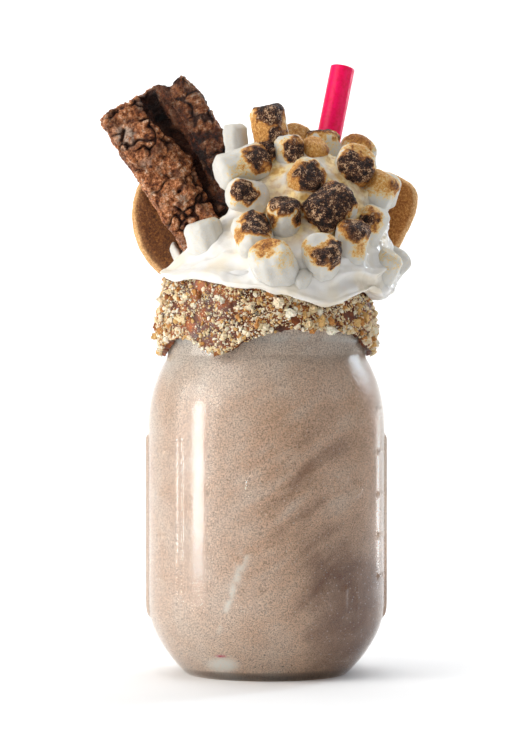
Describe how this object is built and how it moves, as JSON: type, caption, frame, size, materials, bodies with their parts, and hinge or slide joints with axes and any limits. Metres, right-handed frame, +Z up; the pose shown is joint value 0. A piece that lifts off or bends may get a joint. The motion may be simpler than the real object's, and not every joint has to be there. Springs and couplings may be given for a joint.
{
  "type": "milkshake",
  "caption": "Tall chocolate milkshake in a screw-neck glass jar, heaped with cream, toasted marshmallows, a brownie finger, biscuits and a wide straw.",
  "frame": {"origin": "middle of the jar's flat base, on the surface that it stands on", "axes": "+Z up the jar's axis; the brownie leans towards -X and the shown front faces -Y"},
  "size_m": [0.1069, 0.0892, 0.2041],
  "materials": {
    "clear_glass": "clear moulded glass",
    "shake": "smooth milky drink",
    "straw_plastic": "glossy crimson plastic",
    "chocolate_crumb": "chocolate spread with biscuit crumbs",
    "cream": "soft whipped cream",
    "brownie_cake": "crackled chocolate crust",
    "biscuit": "baked biscuit",
    "marshmallow": "dusted marshmallow, toasted and charred on its crown"
  },
  "bodies": {
    "root": {"jar": "clear_glass", "milkshake": "shake", "straw": "straw_plastic", "crumb_rim": "chocolate_crumb", "whipped_cream": "cream", "brownie": "brownie_cake", "biscuit_left": "biscuit", "biscuit_right": "biscuit", "marshmallow_01": "marshmallow", "marshmallow_02": "marshmallow", "marshmallow_03": "marshmallow", "marshmallow_04": "marshmallow", "marshmallow_05": "marshmallow", "marshmallow_06": "marshmallow", "marshmallow_07": "marshmallow", "marshmallow_08": "marshmallow", "marshmallow_09": "marshmallow", "marshmallow_10": "marshmallow", "marshmallow_11": "marshmallow", "marshmallow_12": "marshmallow", "marshmallow_13": "marshmallow", "marshmallow_14": "marshmallow", "marshmallow_15": "marshmallow", "marshmallow_16": "marshmallow", "marshmallow_17": "marshmallow", "marshmallow_18": "marshmallow", "marshmallow_19": "marshmallow", "marshmallow_20": "marshmallow", "marshmallow_21": "marshmallow", "marshmallow_22": "marshmallow", "marshmallow_23": "marshmallow", "marshmallow_24": "marshmallow", "marshmallow_25": "marshmallow", "marshmallow_26": "marshmallow", "marshmallow_27": "marshmallow", "marshmallow_28": "marshmallow", "marshmallow_29": "marshmallow", "marshmallow_30": "marshmallow", "marshmallow_31": "marshmallow", "marshmallow_32": "marshmallow", "marshmallow_33": "marshmallow", "marshmallow_34": "marshmallow", "marshmallow_35": "marshmallow", "marshmallow_36": "marshmallow", "marshmallow_37": "marshmallow", "marshmallow_38": "marshmallow", "marshmallow_39": "marshmallow"}
  },
  "joints": []
}
